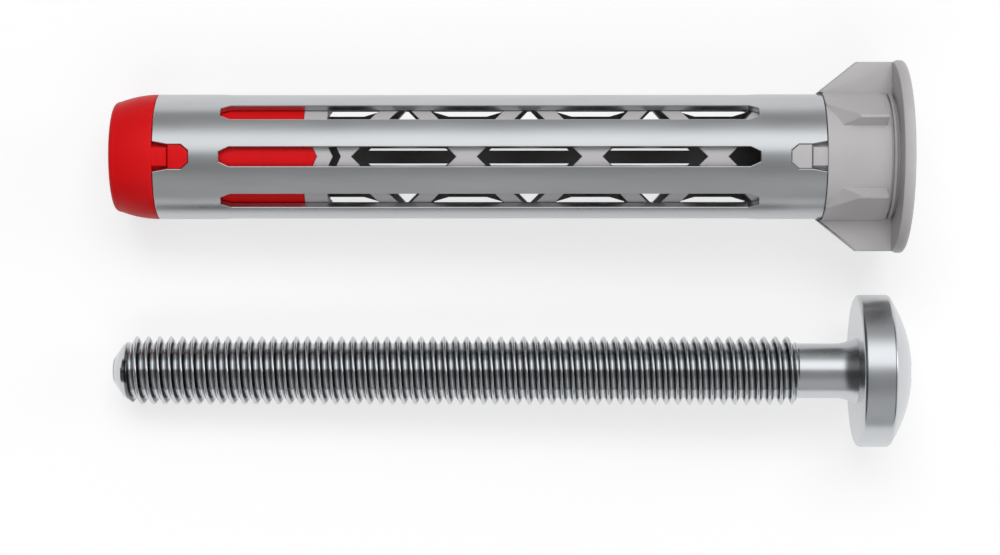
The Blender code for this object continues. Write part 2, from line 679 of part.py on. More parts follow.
def make_screw(parts, cutters):
    """z = 0 is the bearing face under the head; the neck is as thick as the thread's root."""
    dome_radius = ((HEAD_RADIUS - HEAD_EDGE) ** 2 + HEAD_DOME**2) / (2 * HEAD_DOME)
    dome_centre = HEAD_RIM + HEAD_DOME - dome_radius
    dome_edge = math.degrees(math.asin((HEAD_RADIUS - HEAD_EDGE) / dome_radius))
    flare_drop = NECK_FLARE_RADIUS - THREAD_ROOT_RADIUS

    profile = arc((0.0, dome_centre), dome_radius, 90, 90 - dome_edge, DOME_STEPS)
    profile += [(HEAD_RADIUS, HEAD_RIM - HEAD_EDGE), (HEAD_RADIUS, HEAD_EDGE)]
    profile += [(HEAD_RADIUS - HEAD_EDGE, 0.0)]
    for step in range(TAPER_STEPS + 1):
        share = step / TAPER_STEPS
        profile.append((NECK_FLARE_RADIUS - flare_drop * math.sin(share * math.pi / 2), -share * NECK_FLARE_LENGTH))
    foot = -NECK_LENGTH - THREAD_PITCH
    profile += [(THREAD_ROOT_RADIUS, -NECK_LENGTH - THREAD_MARGIN), (THREAD_ROOT_RADIUS - THREAD_MARGIN, foot)]
    profile += [(0.0, foot)]
    screw = turned("machine_screw", profile, parts, closed=False)
    combine(screw, make_thread(cutters, cutters), "UNION")

    top = HEAD_RIM + HEAD_DOME
    above = top + HEAD_DOME
    slope = (RECESS_SPAN - RECESS_FLOOR_SPAN) / 2 / RECESS_DEPTH
    half_above = RECESS_SPAN / 2 + slope * HEAD_DOME
    blade = [
        (top - RECESS_DEPTH, -RECESS_FLOOR_SPAN / 2),
        (above, -half_above),
        (above, half_above),
        (top - RECESS_DEPTH, RECESS_FLOOR_SPAN / 2),
    ]
    for index in range(2):
        turn = Matrix.Rotation(index * math.pi / 2, 4, "Z") @ SIDE_VIEW
        cut = flat_solid("recess_blade_" + str(index + 1), [blade], RECESS_BLADE, cutters, turn)
        combine(screw, cut, "DIFFERENCE")
    core = [
        (0.0, above),
        (RECESS_MOUTH_RADIUS, above),
        (RECESS_CORE_RADIUS, top - RECESS_CORE_DEPTH),
        (0.0, top - RECESS_DEPTH - RECESS_POINT),
    ]
    combine(screw, turned("recess_core", core, cutters, closed=False, steps=SMALL_BORE_STEPS), "DIFFERENCE")
    return screw


def lay_down(name, pieces, tilt, roll, place, parts):
    """Hang pieces on an empty that turns their Z axis to +X, with the head end raised by the tilt."""
    carrier = bpy.data.objects.new(name, None)
    parts.objects.link(carrier)
    turn = Matrix.Rotation(-tilt, 4, "Y") @ Matrix.Rotation(roll, 4, "X")
    lying = Matrix(((0, 0, 1, 0), (1, 0, 0, 0), (0, 1, 0, 0), (0, 0, 0, 1)))
    carrier.matrix_world = Matrix.Translation(place) @ turn @ lying
    for piece in pieces:
        piece.parent = carrier
    return carrier


def corners_of(pieces):
    """Lowest and highest corner of some pieces as they are seen, in world axes."""
    bpy.context.view_layer.update()
    graph = bpy.context.evaluated_depsgraph_get()
    points = []
    for piece in pieces:
        seen = piece.evaluated_get(graph)
        points += [seen.matrix_world @ vert.co for vert in seen.data.vertices]
    low = Vector([min(point[axis] for point in points) for axis in range(3)])
    high = Vector([max(point[axis] for point in points) for axis in range(3)])
    return low, high


def set_down(carriers):
    """Lower each carrier's pieces to z = 0, then bring the middle of the whole over the origin."""
    for carrier, pieces in carriers:
        low, high = corners_of(pieces)
        carrier.location.z -= low.z
    low, high = corners_of([piece for carrier, pieces in carriers for piece in pieces])
    for carrier, pieces in carriers:
        carrier.location.x -= (low.x + high.x) / 2
        carrier.location.y -= (low.y + high.y) / 2


def finish_surface(piece, look, sharp_angle):
    settle(piece)
    piece.data.materials.clear()
    piece.data.materials.append(look)
    piece.data.shade_smooth()
    piece.data.set_sharp_from_angle(angle=math.radians(sharp_angle))


def build():
    clear_scene()
    parts = new_collection("hollow_wall_anchor")
    cutters = new_collection("hollow_wall_anchor_cutters")

    zinc = make_material("zinc_plated_sheet", (0.42, 0.43, 0.44), 0.35, 1.0)
    bright = make_material("bright_zinc_screw", (0.55, 0.56, 0.57), 0.2, 1.0)
    red = make_material("red_nylon", (0.72, 0.013, 0.016), 0.4, 0.0)
    grey = make_material("grey_nylon", (0.56, 0.53, 0.54), 0.45, 0.0)

    sleeve = make_sleeve(parts, cutters)
    nose = make_nose(parts, cutters)
    insert = make_insert(parts)
    flange = make_flange(parts, cutters)
    screw = make_screw(parts, cutters)
    bpy.context.view_layer.update()

    finish_surface(sleeve, zinc, 30)
    finish_surface(nose, red, 30)
    finish_surface(insert, bright, 30)
    finish_surface(flange, grey, 30)
    finish_surface(screw, bright, 30)

    anchor_rise = FLANGE_RADIUS - SLEEVE_RADIUS
    anchor_run = FLANGE_CHAMFER_RISE + COLLAR_LENGTH + SLEEVE_LENGTH
    screw_rise = HEAD_RADIUS - THREAD_RADIUS
    screw_run = HEAD_EDGE + SCREW_LENGTH - SCREW_TIP_CHAMFER
    anchor_pieces = [sleeve, nose, insert, flange]
    anchor_tilt = math.atan2(anchor_rise, anchor_run)
    screw_tilt = math.atan2(screw_rise, screw_run)
    anchor = lay_down("anchor_axis", anchor_pieces, anchor_tilt, ANCHOR_ROLL, (0, 0, 0), parts)
    screw_place = (-SCREW_HEAD_SETBACK, -AXIS_DISTANCE, 0)
    screw_carrier = lay_down("screw_axis", [screw], screw_tilt, 0.0, screw_place, parts)
    set_down([(anchor, anchor_pieces), (screw_carrier, [screw])])


build()
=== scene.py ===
# Looks of a hollow wall anchor and its machine screw, lying on a pale floor.
# Lengths are in metres. Both are modelled upright on their own axis, head up,
# then laid where the CAD has them.

import math

import bmesh
import bpy
from mathutils import Matrix, Vector


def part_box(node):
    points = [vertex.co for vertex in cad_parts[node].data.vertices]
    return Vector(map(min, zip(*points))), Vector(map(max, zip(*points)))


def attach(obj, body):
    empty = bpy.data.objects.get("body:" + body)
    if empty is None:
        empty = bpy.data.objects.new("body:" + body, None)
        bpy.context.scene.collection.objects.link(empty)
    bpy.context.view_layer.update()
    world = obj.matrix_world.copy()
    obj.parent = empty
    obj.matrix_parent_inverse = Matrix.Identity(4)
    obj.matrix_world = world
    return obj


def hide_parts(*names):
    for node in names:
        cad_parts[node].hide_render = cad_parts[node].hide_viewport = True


mm = 0.001

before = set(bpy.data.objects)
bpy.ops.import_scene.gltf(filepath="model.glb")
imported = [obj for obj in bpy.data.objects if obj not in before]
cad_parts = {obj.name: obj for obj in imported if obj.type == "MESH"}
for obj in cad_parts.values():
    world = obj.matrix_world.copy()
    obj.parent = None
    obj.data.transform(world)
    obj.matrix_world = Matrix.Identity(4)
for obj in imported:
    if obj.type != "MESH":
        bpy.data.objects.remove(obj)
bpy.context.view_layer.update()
print("frame loaded:", sorted(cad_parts))


# Helpers for meshes

roundSteps = 160  # facets round every turned piece
tiny = 1e-7
weldDistance = 1e-6  # points closer than this are one point


def arc(centre, radius, start, end, steps=6):
    # points (radius, height) on an arc of a profile, between two angles in degrees
    points = []
    for step in range(steps + 1):
        angle = math.radians(start + (end - start) * step / steps)
        points.append((centre[0] + radius * math.cos(angle), centre[1] + radius * math.sin(angle)))
    return points


def pieceFrom(work, name):
    mesh = bpy.data.meshes.new(name)
    work.to_mesh(mesh)
    work.free()
    piece = bpy.data.objects.new(name, mesh)
    bpy.context.scene.collection.objects.link(piece)
    return piece


def turnProfile(name, profile, steps=roundSteps, closed=True):
    # spins a profile of (radius, height) points about Z; facets are centred on the axes
    work = bmesh.new()
    half = math.pi / steps
    across = Vector((math.cos(half), math.sin(half)))
    verts = [work.verts.new((r * across.x, r * across.y, z)) for r, z in profile]
    pairs = list(zip(verts, verts[1:]))
    if closed:
        pairs.append((verts[-1], verts[0]))
    edges = [work.edges.new(pair) for pair in pairs]
    bmesh.ops.spin(
        work,
        geom=verts + edges,
        cent=(0, 0, 0),
        axis=(0, 0, 1),
        angle=2 * math.pi,
        steps=steps,
        use_merge=True,
    )
    bmesh.ops.remove_doubles(work, verts=work.verts, dist=tiny)
    bmesh.ops.recalc_face_normals(work, faces=work.faces)
    return pieceFrom(work, name)


def plate(name, outlines, thickness, edge=0.0, place=None):
    # fills flat outlines and gives them a thickness, with their edges rounded by the given radius
    curve = bpy.data.curves.new(name, "CURVE")
    curve.dimensions = "2D"
    curve.fill_mode = "BOTH"
    curve.extrude = thickness / 2 - edge
    curve.bevel_depth = edge
    curve.bevel_resolution = 1
    curve.offset = -edge
    for outline in outlines:
        spline = curve.splines.new("POLY")
        spline.points.add(len(outline) - 1)
        for point, (x, y) in zip(spline.points, outline):
            point.co = (x, y, 0.0, 1.0)
        spline.use_cyclic_u = True
    drawn = bpy.data.objects.new(name, curve)
    bpy.context.scene.collection.objects.link(drawn)
    bpy.context.view_layer.update()
    seen = drawn.evaluated_get(bpy.context.evaluated_depsgraph_get())
    work = bmesh.new()
    work.from_mesh(seen.to_mesh())
    seen.to_mesh_clear()
    bpy.data.objects.remove(drawn, do_unlink=True)
    bmesh.ops.remove_doubles(work, verts=work.verts, dist=weldDistance)
    bmesh.ops.recalc_face_normals(work, faces=work.faces)
    if place is not None:
        bmesh.ops.transform(work, matrix=place, verts=work.verts)
    return pieceFrom(work, name)


def roundPunchedEdges(piece, width, sharpAngle=60):
    # rounds the edges that a punch leaves on both faces of a flat plate
    work = bmesh.new()
    work.from_mesh(piece.data)
    edges = []
    for item in work.edges:
        level = abs(item.verts[0].co.z - item.verts[1].co.z) < tiny
        if level and len(item.link_faces) == 2 and item.calc_face_angle() > math.radians(sharpAngle):
            edges.append(item)
    bmesh.ops.bevel(work, geom=edges, offset=width, segments=2, affect="EDGES", profile=0.5)
    work.to_mesh(piece.data)
    work.free()


def slicePlate(piece, sheetMiddle):
    # cuts a flat plate of (arc length, height) into strips, one for each facet of the tube
    work = bmesh.new()
    work.from_mesh(piece.data)
    strip = 2 * math.pi / roundSteps * sheetMiddle
    first = math.ceil(min(vert.co.x for vert in work.verts) / strip)
    last = math.floor(max(vert.co.x for vert in work.verts) / strip)
    for index in range(first, last + 1):
        everything = work.verts[:] + work.edges[:] + work.faces[:]
        bmesh.ops.bisect_plane(
            work, geom=everything, dist=tiny, plane_co=(index * strip, 0, 0), plane_no=(1, 0, 0)
        )
    work.to_mesh(piece.data)
    work.free()


def rollPlate(piece, sheetMiddle, radiusMiddle):
    # bends a plate about Z at every cut; it is made of triangles first, because a bent face could fold
    slicePlate(piece, sheetMiddle)
    work = bmesh.new()
    work.from_mesh(piece.data)
    bmesh.ops.triangulate(work, faces=work.faces)
    for vert in work.verts:
        angle = vert.co.x / sheetMiddle
        radius = radiusMiddle + vert.co.z
        vert.co = (radius * math.cos(angle), radius * math.sin(angle), vert.co.y)
    work.to_mesh(piece.data)
    work.free()
    return piece


def roundNormals(piece, facingOut=0.95):
    # gives the sheet's two faces the exact normals of a tube, so that reflections run straight along it
    mesh = piece.data
    normals = [Vector()] * len(mesh.loops)
    for face in mesh.polygons:
        for loop in face.loop_indices:
            place = mesh.vertices[mesh.loops[loop].vertex_index].co
            radial = Vector((place.x, place.y, 0)).normalized()
            side = face.normal.dot(radial)
            onFace = abs(side) > facingOut
            normals[loop] = radial * math.copysign(1, side) if onFace else Vector(face.normal)
    mesh.normals_split_custom_set([tuple(normal) for normal in normals])


def combine(target, other, operation):
    step = target.modifiers.new("Boolean", "BOOLEAN")
    step.operation = operation
    step.solver = "EXACT"
    step.object = other
    bpy.context.view_layer.update()
    seen = target.evaluated_get(bpy.context.evaluated_depsgraph_get())
    result = bpy.data.meshes.new_from_object(seen)
    target.modifiers.clear()
    target.data = result
    bpy.data.objects.remove(other, do_unlink=True)


def finishPiece(piece, matrix, material, node, sharpAngle=32):
    piece.data.transform(matrix)
    piece.data.materials.clear()
    piece.data.materials.append(material)
    if sharpAngle is not None:
        piece.data.shade_smooth()
        piece.data.set_sharp_from_angle(angle=math.radians(sharpAngle))
    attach(piece, "root")
    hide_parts(node)
    print("piece", piece.name, len(piece.data.polygons), "faces")


# a drawing of (place along the axis, height in the picture) set upright on the anchor's own axes
sideView = Matrix(((0, 1, 0, 0), (0, 0, 1, 0), (1, 0, 0, 0), (0, 0, 0, 1)))

# lays an upright piece down: its Z to +X, its X to +Y and its Y to +Z
lying = Matrix(((0, 0, 1, 0), (1, 0, 0, 0), (0, 1, 0, 0), (0, 0, 0, 1)))


# Helpers for materials


def colour(code):
    # sRGB hex to linear
    channels = [int(code[i : i + 2], 16) / 255 for i in (0, 2, 4)]
    linear = [c / 12.92 if c <= 0.04045 else ((c + 0.055) / 1.055) ** 2.4 for c in channels]
    return (*linear, 1.0)


def addNode(tree, kind, settings=None, inputs=None):
    # adds one node; settings are its properties, inputs its socket values or the sockets that feed them
    node = tree.nodes.new(kind)
    for key, value in (settings or {}).items():
        setattr(node, key, value)
    for key, value in (inputs or {}).items():
        if isinstance(value, bpy.types.NodeSocket):
            tree.links.new(value, node.inputs[key])
        else:
            node.inputs[key].default_value = value
    return node


def addRamp(tree, factor, stops, low, high):
    # grey values along a line from low to high, with straight runs between the stops
    share = addNode(
        tree, "ShaderNodeMapRange", None, {"Value": factor, "From Min": low, "From Max": high},
    )
    ramp = addNode(tree, "ShaderNodeValToRGB", None, {"Fac": share.outputs["Result"]})
    points = ramp.color_ramp.elements
    while len(points) < len(stops):
        points.new(1.0)
    for point, (place, value) in zip(points, stops):
        point.position = (place - low) / (high - low)
        point.color = (value, value, value, 1.0)
    return ramp.outputs["Color"]


def calculate(tree, operation, *values):
    node = addNode(tree, "ShaderNodeMath", {"operation": operation}, dict(enumerate(values)))
    return node.outputs[0]


def vectorMath(tree, operation, *vectors):
    node = addNode(tree, "ShaderNodeVectorMath", {"operation": operation}, dict(enumerate(vectors)))
    return node.outputs


def mixColours(tree, share, first, second):
    # the first colour where the share is 0, the second where it is 1
    node = addNode(tree, "ShaderNodeMix", {"data_type": "RGBA"}, {0: share, 6: first, 7: second})
    return node.outputs[2]


def addNoise(tree, place, size, detail):
    # soft noise with spots of about the given size
    node = addNode(
        tree, "ShaderNodeTexNoise", None,
        {"Vector": place, "Scale": 1 / size / 2, "Detail": detail, "Roughness": 0.5},
    )
    return node.outputs["Fac"]


noiseRange = (0.3, 0.7)  # nearly all of a noise's values lie between these


def spread(tree, noise, low=0.0, high=1.0):
    # stretches a noise over the values from low to high
    bottom, top = noiseRange
    node = addNode(
        tree, "ShaderNodeMapRange", None,
        {"Value": noise, "From Min": bottom, "From Max": top, "To Min": low, "To Max": high},
    )
    return node.outputs["Result"]


def axisRamp(tree, place, axis, stops):
    # grey values by the distance in mm from an axis; also gives the place along that axis
    origin, direction = axis
    offset = vectorMath(tree, "SUBTRACT", place, origin)["Vector"]
    along = vectorMath(tree, "DOT_PRODUCT", offset, direction)["Value"]
    across = vectorMath(tree, "CROSS_PRODUCT", offset, direction)["Vector"]
    radius = vectorMath(tree, "LENGTH", across)["Value"]
    scaled = [(distance * mm, value) for distance, value in stops]
    return addRamp(tree, radius, scaled, scaled[0][0], scaled[-1][0]), along


def newMaterial(name):
    material = bpy.data.materials.new(name)
    material.use_nodes = True
    tree = material.node_tree
    tree.nodes.clear()
    shader = addNode(tree, "ShaderNodeBsdfPrincipled")
    addNode(tree, "ShaderNodeOutputMaterial", None, {"Surface": shader.outputs["BSDF"]})
    place = addNode(tree, "ShaderNodeTexCoord").outputs["Object"]
    return material, tree, shader, place


# Materials

zincSheet = {
    "light": "C6C8CA",
    "dark": "B9BBBD",
    "roughness": (0.27, 0.33),
    "cloudSize": 0.9 * mm,  # width of the faint clouds in the zinc
    "cloudLength": 6,  # they are this many times longer than wide, along the rolled strip
}


def makeZincPlatedStrip():
    # cold-rolled steel strip, electroplated with zinc: soft grey metal with faint clouds lengthwise
    material, tree, shader, place = newMaterial("zinc plated rolled steel strip")
    squeeze = (1 / zincSheet["cloudLength"], 1.0, 1.0)
    stretched = addNode(tree, "ShaderNodeMapping", None, {"Vector": place, "Scale": squeeze})
    clouds = addNoise(tree, stretched.outputs["Vector"], zincSheet["cloudSize"], 2.0)
    tint = mixColours(tree, spread(tree, clouds), colour(zincSheet["dark"]), colour(zincSheet["light"]))
    rough = spread(tree, clouds, *zincSheet["roughness"])
    tree.links.new(tint, shader.inputs["Base Color"])
    tree.links.new(rough, shader.inputs["Roughness"])
    shader.inputs["Metallic"].default_value = 1.0
    return material


brightZinc = {
    "light": "CFD1D3",
    "dark": "C2C5C8",
    "flankShade": "202326",  # painted shade that darkens the thread's flanks
    "roughness": (0.11, 0.15),
    "turned": 0.13,  # the neck and head are rougher than the thread by this much
    "spotSize": 1.4 * mm,
    "unshaded": [  # distance from the screw's axis in mm, share of the metal's own colour there; the rest is painted flank shade
        (2.3, 1.0),
        (2.48, 1.0),
        (2.56, 0.2),
        (2.79, 0.2),
        (2.87, 1.0),
        (3.1, 1.0),
    ],
}


def makeBrightZincPlate(name, axis=None, threadEnd=0.0):
    # steel, bright zinc plated: almost a mirror, slightly uneven
    # an axis marks a rolled thread, whose flanks get painted shade as far as its end
    material, tree, shader, place = newMaterial(name)
    spots = addNoise(tree, place, brightZinc["spotSize"], 1.0)
    tint = mixColours(tree, spots, colour(brightZinc["dark"]), colour(brightZinc["light"]))
    rough = spread(tree, spots, *brightZinc["roughness"])
    if axis is not None:
        unshaded, along = axisRamp(tree, place, axis, brightZinc["unshaded"])
        plain = calculate(tree, "GREATER_THAN", along, threadEnd)
        share = calculate(tree, "MAXIMUM", unshaded, plain)
        # painted shade: the thread's flanks are darkened towards the dark grey
        tint = mixColours(tree, share, colour(brightZinc["flankShade"]), tint)
        rough = calculate(tree, "MULTIPLY_ADD", plain, brightZinc["turned"], rough)
    tree.links.new(tint, shader.inputs["Base Color"])
    tree.links.new(rough, shader.inputs["Roughness"])
    shader.inputs["Metallic"].default_value = 1.0
    return material


polyamideIor = 1.53

redNylon = {
    "main": "EA181D",
    "deep": "DF151A",
    "roughness": (0.36, 0.48),
    "specular": 0.1,
    "mottle": 1.2 * mm,
    "grain": 0.07 * mm,
    "grainDepth": 0.0015 * mm,
    "edgeRadius": 0.1 * mm,
}

greyNylon = {
    "main": "D0CDCE",
    "deep": "C7C4C5",
    "roughness": (0.38, 0.52),
    "specular": 0.4,
    "mottle": 1.5 * mm,
    "grain": 0.08 * mm,
    "grainDepth": 0.002 * mm,
    "edgeRadius": 0.14 * mm,
    "inside": [  # distance from the anchor's axis in mm, share of the colour there; painted shade darkens the hollow inside
        (3.3, 0.16),
        (3.6, 0.2),
        (4.6, 0.5),
        (4.74, 1.0),
    ],
}


def makeMouldedNylon(name, look, axis=None):
    # injection-moulded polyamide: even colour, soft shine, a very fine grain, and edges that the mould
    # rounds; an axis adds painted shade in the hollow round it
    material, tree, shader, place = newMaterial(name)
    mottle = addNoise(tree, place, look["mottle"], 3.0)
    tint = mixColours(tree, mottle, colour(look["deep"]), colour(look["main"]))
    # painted shade: towards the axis the colour goes down to black
    if axis is not None:
        share = axisRamp(tree, place, axis, look["inside"])[0]
        tint = mixColours(tree, share, colour("000000"), tint)
    rough = spread(tree, mottle, *look["roughness"])
    grain = addNoise(tree, place, look["grain"], 1.0)
    rounded = addNode(tree, "ShaderNodeBevel", {"samples": 6}, {"Radius": look["edgeRadius"]})
    bump = addNode(
        tree, "ShaderNodeBump", None,
        {
            "Height": grain,
            "Distance": look["grainDepth"],
            "Strength": 1.0,
            "Normal": rounded.outputs["Normal"],
        },
    )
    tree.links.new(tint, shader.inputs["Base Color"])
    tree.links.new(rough, shader.inputs["Roughness"])
    tree.links.new(bump.outputs["Normal"], shader.inputs["Normal"])
    shader.inputs["IOR"].default_value = polyamideIor
    shader.inputs["Specular IOR Level"].default_value = look["specular"]
    return material


zincStrip = makeZincPlatedStrip()
zincBright = makeBrightZincPlate("bright zinc plated turned steel")
nylonRed = makeMouldedNylon("moulded red polyamide", redNylon)
print("materials made")


# Steel sleeve

sleeve = {
    "radius": 5.41 * mm,
    "sheet": 0.53 * mm,
    "length": 57.4 * mm,
    "top": -6.1 * mm,  # its head end, from the flange's bearing face
    "seamGap": 0.12 * mm,
    "punchedEdge": 0.06 * mm,
    "slots": 8,
    "slotWidth": 1.66 * mm,
    "slotFromHeadEnd": 5.7 * mm,
    "slotFromNoseEnd": 5.7 * mm,
    "slotTipWidth": 0.86 * mm,
    "slotTipLength": 0.85 * mm,
}
sleeve["bottom"] = sleeve["top"] - sleeve["length"]
sleeve["middle"] = sleeve["radius"] - sleeve["sheet"] / 2

tab = {
    "headWidth": 2.04 * mm,
    "headLength": 1.75 * mm,
    "tipWidth": 1.0 * mm,
    "tipLength": 0.6 * mm,
    "neckWidth": 1.64 * mm,
    "neckLength": 1.3 * mm,
    "neckDrop": 0.12 * mm,
    "groove": 0.12 * mm,
    "clearance": 0.03 * mm,
    "notchFlare": 0.24 * mm,
    "edge": 0.05 * mm,
}


def arcLength(chord):
    # length round the middle of the sheet of a width measured straight across the sleeve's outside
    return sleeve["middle"] * math.asin(chord / sleeve["radius"])


def tabHalf(end, inward, clearance=0.0):
    wide = arcLength(tab["headWidth"] / 2 + clearance)
    narrow = arcLength(tab["tipWidth"] / 2 + clearance)
    tip = end + inward * (tab["neckLength"] + tab["headLength"] + clearance)
    shoulder = end + inward * (tab["neckLength"] + tab["headLength"] - tab["tipLength"])
    base = end + inward * (tab["neckLength"] + tab["groove"] / 2)
    return [(wide, base), (wide, shoulder), (narrow, tip)]


def bothSides(half, centre):
    right = [(centre + offset, height) for offset, height in half]
    left = [(centre - offset, height) for offset, height in reversed(half)]
    return right + left


def notch(end, inward, centre):
    # the opening in the sheet's end that a tab locks into, flared towards that end
    inner = tab["headWidth"] / 2 + tab["clearance"]
    mouth = arcLength(inner + tab["notchFlare"])
    half = [
        (mouth, end - inward * sleeve["sheet"]),
        (mouth, end),
        (arcLength(inner), end + inward * tab["neckLength"]),
    ]
    return bothSides(half + tabHalf(end, inward, tab["clearance"])[1:], centre)


def slot(centre):
    top = sleeve["top"] - sleeve["slotFromHeadEnd"]
    bottom = sleeve["bottom"] + sleeve["slotFromNoseEnd"]
    wide = arcLength(sleeve["slotWidth"] / 2)
    narrow = arcLength(sleeve["slotTipWidth"] / 2)
    tip = sleeve["slotTipLength"]
    return bothSides([(narrow, top), (wide, top - tip), (wide, bottom + tip), (narrow, bottom)], centre)


def makeSleeve():
    # a strip is punched flat and rolled; its side edges meet along one row of slots
    edge = math.pi * sleeve["middle"] - sleeve["seamGap"] / 2
    top = sleeve["top"]
    bottom = sleeve["bottom"]
    strip = [(-edge, bottom), (edge, bottom), (edge, top), (-edge, top)]
    blank = plate("rolled_sleeve", [strip], sleeve["sheet"])
    punches = []
    for index in range(sleeve["slots"] + 1):
        punches.append(slot((index / sleeve["slots"] - 0.5) * 2 * math.pi * sleeve["middle"]))
    for side in (-1, 1):
        punches.append(notch(top, -1, side * math.pi / 2 * sleeve["middle"]))
        punches.append(notch(bottom, 1, side * math.pi / 2 * sleeve["middle"]))
    combine(blank, plate("punches", punches, 3 * sleeve["sheet"]), "DIFFERENCE")
    roundPunchedEdges(blank, sleeve["punchedEdge"])
    return rollPlate(blank, sleeve["middle"], sleeve["middle"])


# Plastic pieces

cage = {
    "fit": 0.12 * mm,
    "endClearance": 0.03 * mm,
    "pitch": 10.7 * mm,
    "windows": 3,
    "firstNode": 3.25 * mm,  # from the plug's shoulder
    "frontReach": 4.49 * mm,
    "frontStrut": 1.63 * mm,
    "backReach": 4.1 * mm,
    "spine": 1.14 * mm,
    "backLensBase": 3.5 * mm,
    "backLensBaseLength": 3.3 * mm,
    "backLensShoulder": 3.9 * mm,
    "backLensLength": 6.0 * mm,
    "endRing": 2.0 * mm,
    "slit": 0.7 * mm,
    "slitHalfSpan": 1.0 * mm,
    "lastWindowFromCollar": 4.49 * mm,
    "cutOverlap": 0.5 * mm,  # how far the front cut reaches past the middle
}
cage["radius"] = sleeve["radius"] - sleeve["sheet"] - cage["fit"]

nose = {
    "length": 3.85 * mm,
    "drop": 0.62 * mm,
    "fillet": 0.5 * mm,
    "filletStart": -12.0,  # degrees, where the taper runs into the fillet
    "edge": 0.12 * mm,
    "taperSteps": 12,
    "bore": 3.2 * mm,
    "boreChamfer": 0.35 * mm,
    "plugLength": 12.8 * mm,
    "tongueLength": 1.2 * mm,
    "tongueHalfSpan": 2.5 * mm,
}
nose["plugTop"] = sleeve["bottom"] + nose["plugLength"]

insert = {
    "radius": 3.9 * mm,
    "length": 9.6 * mm,
    "chamfer": 0.3 * mm,
    "groove": 1.6 * mm,
    "grooveDepth": 0.35 * mm,
    "fromSleeveEnd": 1.3 * mm,
    "clearance": 0.05 * mm,
    "threadMinor": 2.5 * mm,
    "threadMajor": 3.03 * mm,
    "pitch": 1.0 * mm,
}


def addTabs(target, end, inward):
    root = cage["radius"] - 2 * cage["fit"]
    neckHalf = arcLength(tab["neckWidth"] / 2)
    neckEnd = end + inward * (tab["neckLength"] - tab["groove"] / 2)
    neckStart = end - inward * sleeve["sheet"]
    heads = []
    necks = []
    for side in (-1, 1):
        centre = side * math.pi / 2 * sleeve["middle"]
        heads.append(bothSides(tabHalf(end, inward), centre))
        necks.append(bothSides([(neckHalf, neckStart), (neckHalf, neckEnd)], centre))
    for outlines, drop in ((heads, 0.0), (necks, tab["neckDrop"])):
        outer = sleeve["radius"] - drop
        flat = plate("tab", outlines, outer - root, tab["edge"])
        combine(target, rollPlate(flat, sleeve["middle"], (outer + root) / 2), "UNION")


def makeNose():
    bottom = sleeve["bottom"] - nose["length"]
    filletHeight = bottom + nose["fillet"]
    start = sleeve["bottom"] - cage["endClearance"]
    shoulder = sleeve["radius"] - nose["drop"]
    top = nose["plugTop"] + nose["tongueLength"] + 2 * cage["endClearance"]
    pocketLow = sleeve["bottom"] + insert["fromSleeveEnd"] - insert["clearance"]
    pocketHigh = pocketLow + insert["length"] + 2 * insert["clearance"]
    pocket = insert["radius"] + insert["clearance"]
    edge = nose["edge"]
    profile = [(cage["radius"], top), (cage["radius"], start)]
    profile += arc((sleeve["radius"] - edge, start - edge), edge, 90, 20, 3)
    for step in range(1, nose["taperSteps"] + 1):
        share = step / nose["taperSteps"]
        height = start - share * (start - filletHeight)
        profile.append((sleeve["radius"] - nose["drop"] * share**2, height))
    filletCentre = (shoulder - nose["fillet"], filletHeight)
    profile += arc(filletCentre, nose["fillet"], nose["filletStart"], -90, 8)
    profile += [(nose["bore"] + nose["boreChamfer"], bottom), (nose["bore"], bottom + nose["boreChamfer"])]
    profile += [(nose["bore"], pocketLow), (pocket, pocketLow), (pocket, pocketHigh)]
    profile += [(nose["bore"], pocketHigh), (nose["bore"], top)]
    piece = turnProfile("moulded_nose", profile)
    far = 3 * sleeve["radius"]
    half = [
        (nose["plugTop"] + nose["tongueLength"], 0.0),
        (nose["plugTop"], nose["tongueHalfSpan"]),
        (nose["plugTop"], far),
        (far, far),
    ]
    outline = half + [(height, -across) for height, across in reversed(half[1:])]
    combine(piece, plate("endCut", [outline], far, 0.0, sideView), "DIFFERENCE")
    addTabs(piece, sleeve["bottom"], 1)
    return piece


flange = {
    "radius": 8.35 * mm,
    "thickness": 0.93 * mm,
    "edge": 0.2 * mm,
    "chamferWidth": 0.2 * mm,
    "chamferRise": 0.4 * mm,
    "collarStep": 0.09 * mm,
    "ringGap": 0.2 * mm,
    "ringWidth": 0.25 * mm,
    "grooveDepth": 0.4 * mm,
    "relief": 0.1 * mm,
    "bore": 3.3 * mm,
    "boreChamfer": 0.35 * mm,
    "wingRadius": 8.19 * mm,
    "wingThickness": 1.2 * mm,
    "wingRamp": 3.0 * mm,
    "wingLap": 0.4 * mm,
    "wingEdge": 0.14 * mm,
    "ribRadius": 6.8 * mm,
    "ribAngle": math.radians(29.0),
    "ribLand": math.radians(2.5),
    "ribFootAngle": math.radians(80.0),
    "ribFootRise": 0.1 * mm,
    "ribEndGap": 1.0 * mm,
    "ribRampStart": 1.25 * mm,
    "ribRampLength": 1.45 * mm,
    "ribSkewAngle": math.radians(50.0),
    "ribEdge": 0.06 * mm,
}


def flangeProfile():
    collar = sleeve["radius"] + flange["collarStep"]
    groove = collar - flange["grooveDepth"]
    front = flange["thickness"]
    radius = flange["radius"]
    edge = flange["edge"]
    ringTop = -flange["ringGap"]
    ringLow = ringTop - flange["ringWidth"]
    collarTop = ringLow - flange["ringGap"]
    shoulder = sleeve["top"] + cage["endClearance"]
    low = nose["plugTop"] + cage["endClearance"]
    profile = [(flange["bore"] + flange["boreChamfer"], front)]
    profile += arc((radius - edge, front - edge), edge, 90, 0)
    profile += [(radius, flange["chamferRise"]), (radius - flange["chamferWidth"], 0.0)]
    profile += [(collar + flange["relief"], 0.0), (groove, flange["relief"]), (groove, ringTop)]
    profile += [(collar, ringTop), (collar, ringLow), (groove, ringLow)]
    profile += [(groove, collarTop), (collar, collarTop), (collar, shoulder)]
    profile += [(cage["radius"], shoulder), (cage["radius"], low)]
    profile += [(flange["bore"], low), (flange["bore"], front - flange["boreChamfer"])]
    return profile


